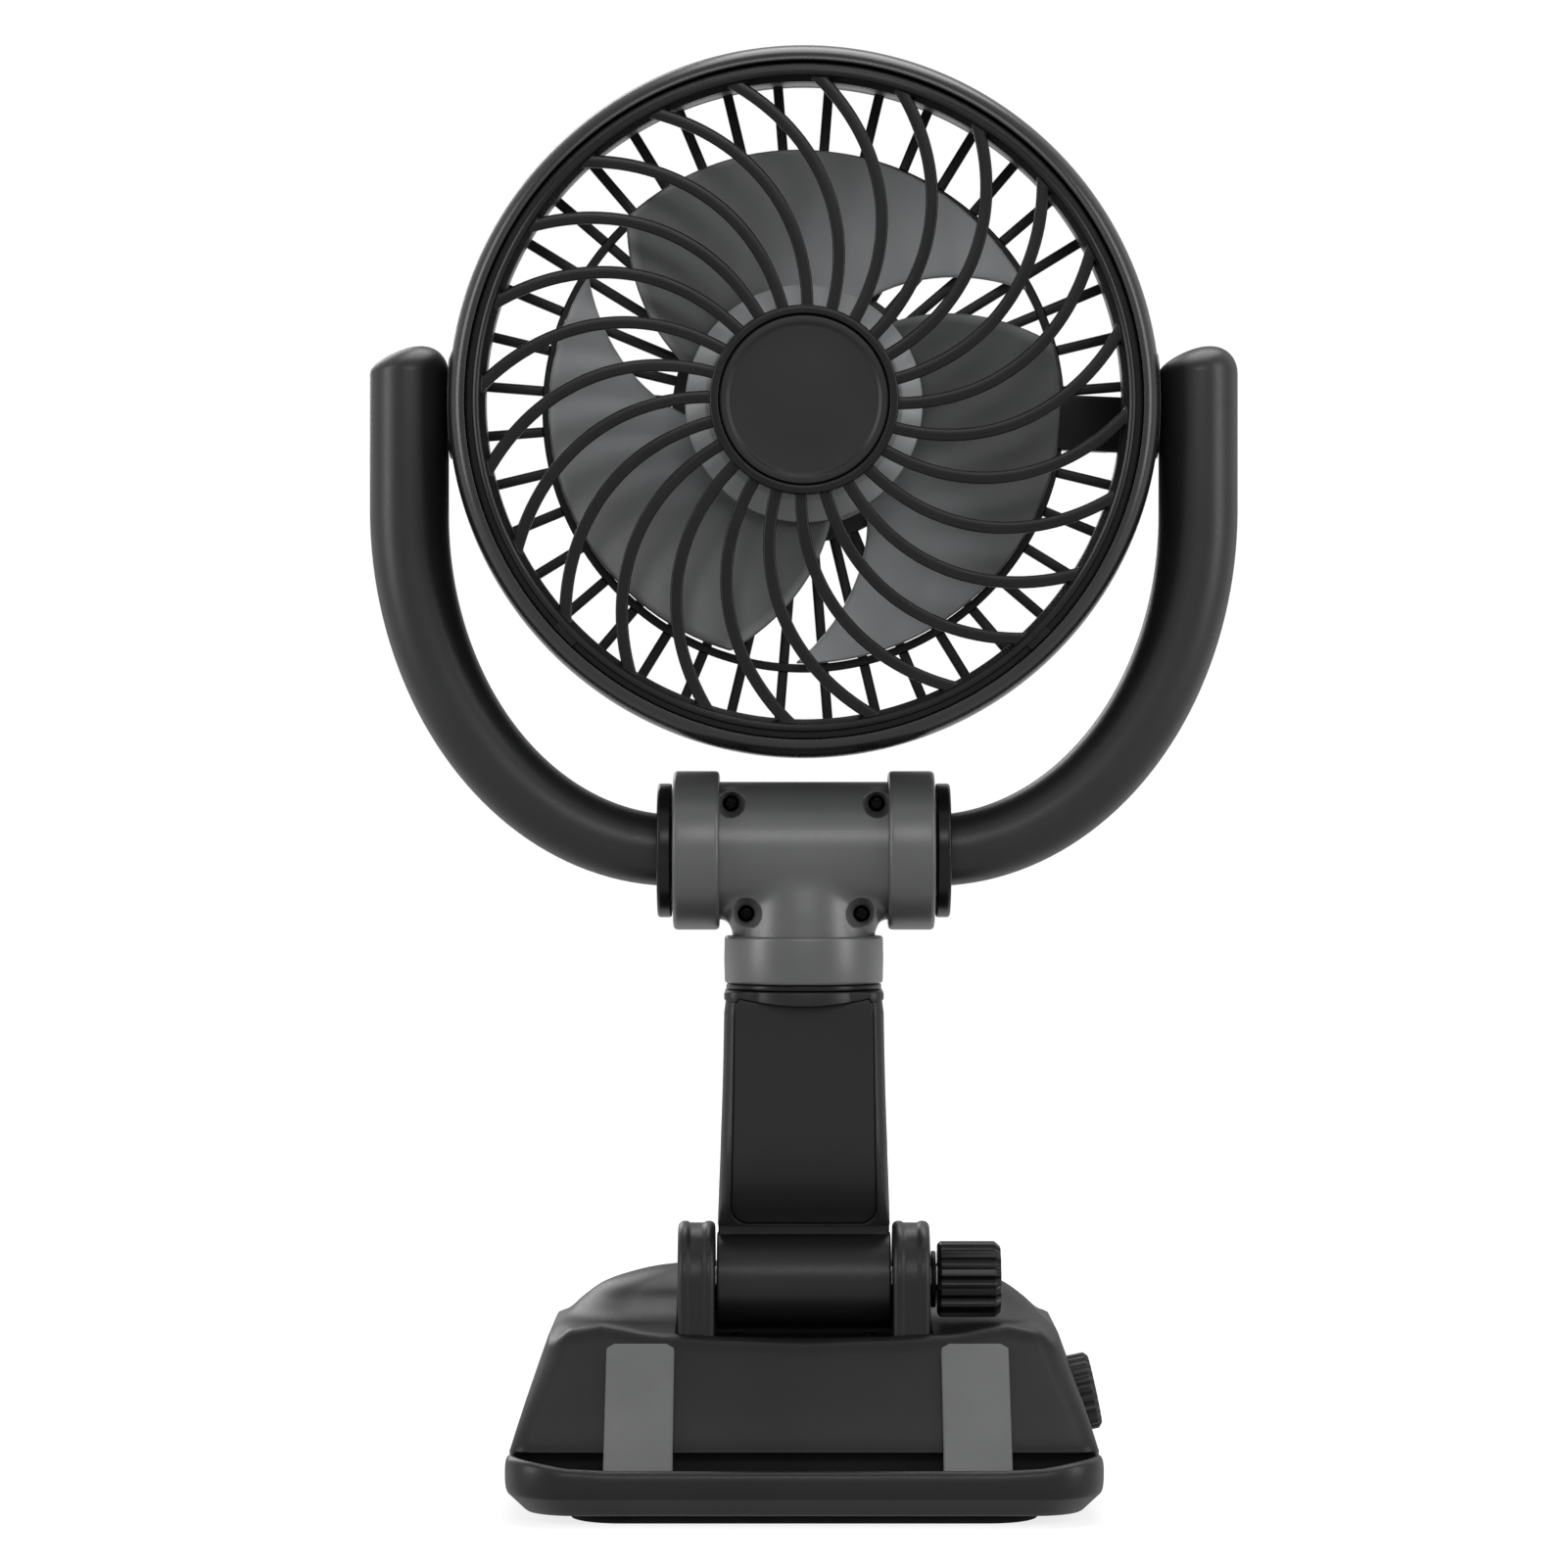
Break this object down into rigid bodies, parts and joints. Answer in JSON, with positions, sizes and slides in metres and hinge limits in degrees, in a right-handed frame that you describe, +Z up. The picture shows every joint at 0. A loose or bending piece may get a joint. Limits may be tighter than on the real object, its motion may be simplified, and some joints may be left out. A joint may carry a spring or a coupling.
{
  "type": "car fan",
  "caption": "Small dashboard fan: a caged round head turns in a tube yoke on a folding arm, clamped to a weighted console with a phone rest and a speed dial.",
  "frame": {"origin": "middle of the rubber pad's underside, straight below the hinge, the arm and the fan's pivot", "axes": "+Z up along the upright arm, -Y out of the front where the air leaves, +X to the right as seen from the front"},
  "size_m": [0.1712, 0.084, 0.2854],
  "materials": {
    "black_plastic": "satin",
    "dark_gloss_plastic": "gloss",
    "grey_plastic": "satin",
    "blade_plastic": "satin",
    "strip_rubber": "matte",
    "pad_rubber": "matte",
    "steel": "satin",
    "ferrite": "matte",
    "copper": "gloss",
    "bronze": "satin",
    "board": "satin"
  },
  "bodies": {
    "base": {"foot_pad": "pad_rubber", "base_tray": "black_plastic", "base_shell": "black_plastic", "phone_strip_left": "strip_rubber", "phone_strip_right": "strip_rubber", "control_board": "board", "usb_socket": "steel", "case_screw_1": "steel", "case_screw_2": "steel", "case_screw_3": "steel", "case_screw_4": "steel", "bracket_screw_1": "steel", "bracket_screw_2": "steel", "speed_pot": "ferrite", "hinge_bracket": "black_plastic", "hinge_nut": "steel", "hinge_end_cap": "black_plastic", "hinge_washer": "steel"},
    "knob": {"clamp_knob": "black_plastic", "clamp_bolt": "steel"},
    "dial": {"speed_dial": "black_plastic", "dial_shaft": "steel"},
    "arm": {"arm_rear_shell": "black_plastic", "arm_front_panel": "black_plastic", "arm_screw": "steel", "arm_spigot": "black_plastic", "swivel_washer": "dark_gloss_plastic"},
    "tee": {"tee_front_shell": "grey_plastic", "tee_rear_shell": "grey_plastic", "tee_collar_left": "grey_plastic", "tee_collar_right": "grey_plastic", "swivel_collar": "grey_plastic", "tee_screw_1": "steel", "tee_screw_2": "steel", "tee_screw_3": "steel", "tee_screw_4": "steel"},
    "yoke": {"yoke_front_shell": "black_plastic", "yoke_rear_shell": "black_plastic", "yoke_flange_left": "dark_gloss_plastic", "yoke_flange_right": "dark_gloss_plastic", "yoke_screw_1": "steel", "yoke_screw_2": "steel"},
    "head": {"head_shroud": "black_plastic", "front_grille": "black_plastic", "hub_cap": "black_plastic", "rear_grille": "black_plastic", "wire_duct_cover": "dark_gloss_plastic", "motor_lead": "pad_rubber", "motor_stator": "steel", "motor_winding": "copper", "motor_board": "board", "bearing_tube": "bronze", "front_bearing": "bronze", "rear_bearing": "bronze", "pivot_pin_left": "steel", "pivot_pin_right": "steel"},
    "rotor": {"impeller": "blade_plastic", "rotor_cup": "steel", "magnet_ring": "ferrite", "motor_shaft": "steel"}
  },
  "joints": [
    {"name": "arm_tilt", "type": "hinge", "parent": "base", "child": "arm", "pos_m": [0, 0, 0.0436], "axis": [1, 0, 0], "range_deg": [-40, 75]},
    {"name": "tee_swivel", "type": "hinge", "parent": "arm", "child": "tee", "pos_m": [0, 0, 0.1022], "axis": [0, 0, 1], "range_deg": [-180, 180]},
    {"name": "yoke_tilt", "type": "hinge", "parent": "tee", "child": "yoke", "pos_m": [0, 0, 0.1282], "axis": [1, 0, 0], "range_deg": [-90, 90]},
    {"name": "head_tilt", "type": "hinge", "parent": "yoke", "child": "head", "pos_m": [0, 0, 0.2159], "axis": [1, 0, 0], "range_deg": [-180, 180]},
    {"name": "fan_spin", "type": "hinge", "parent": "head", "child": "rotor", "pos_m": [0, 0, 0.2159], "axis": [0, 1, 0], "continuous": true},
    {"name": "clamp_knob_turn", "type": "hinge", "parent": "base", "child": "knob", "pos_m": [0, 0, 0.0436], "axis": [1, 0, 0], "range_deg": [0, 360]},
    {"name": "speed_dial_turn", "type": "hinge", "parent": "base", "child": "dial", "pos_m": [0.0523, 0.002, 0.02053], "axis": [0.9781, 0, 0.2079], "range_deg": [0, 270]}
  ]
}
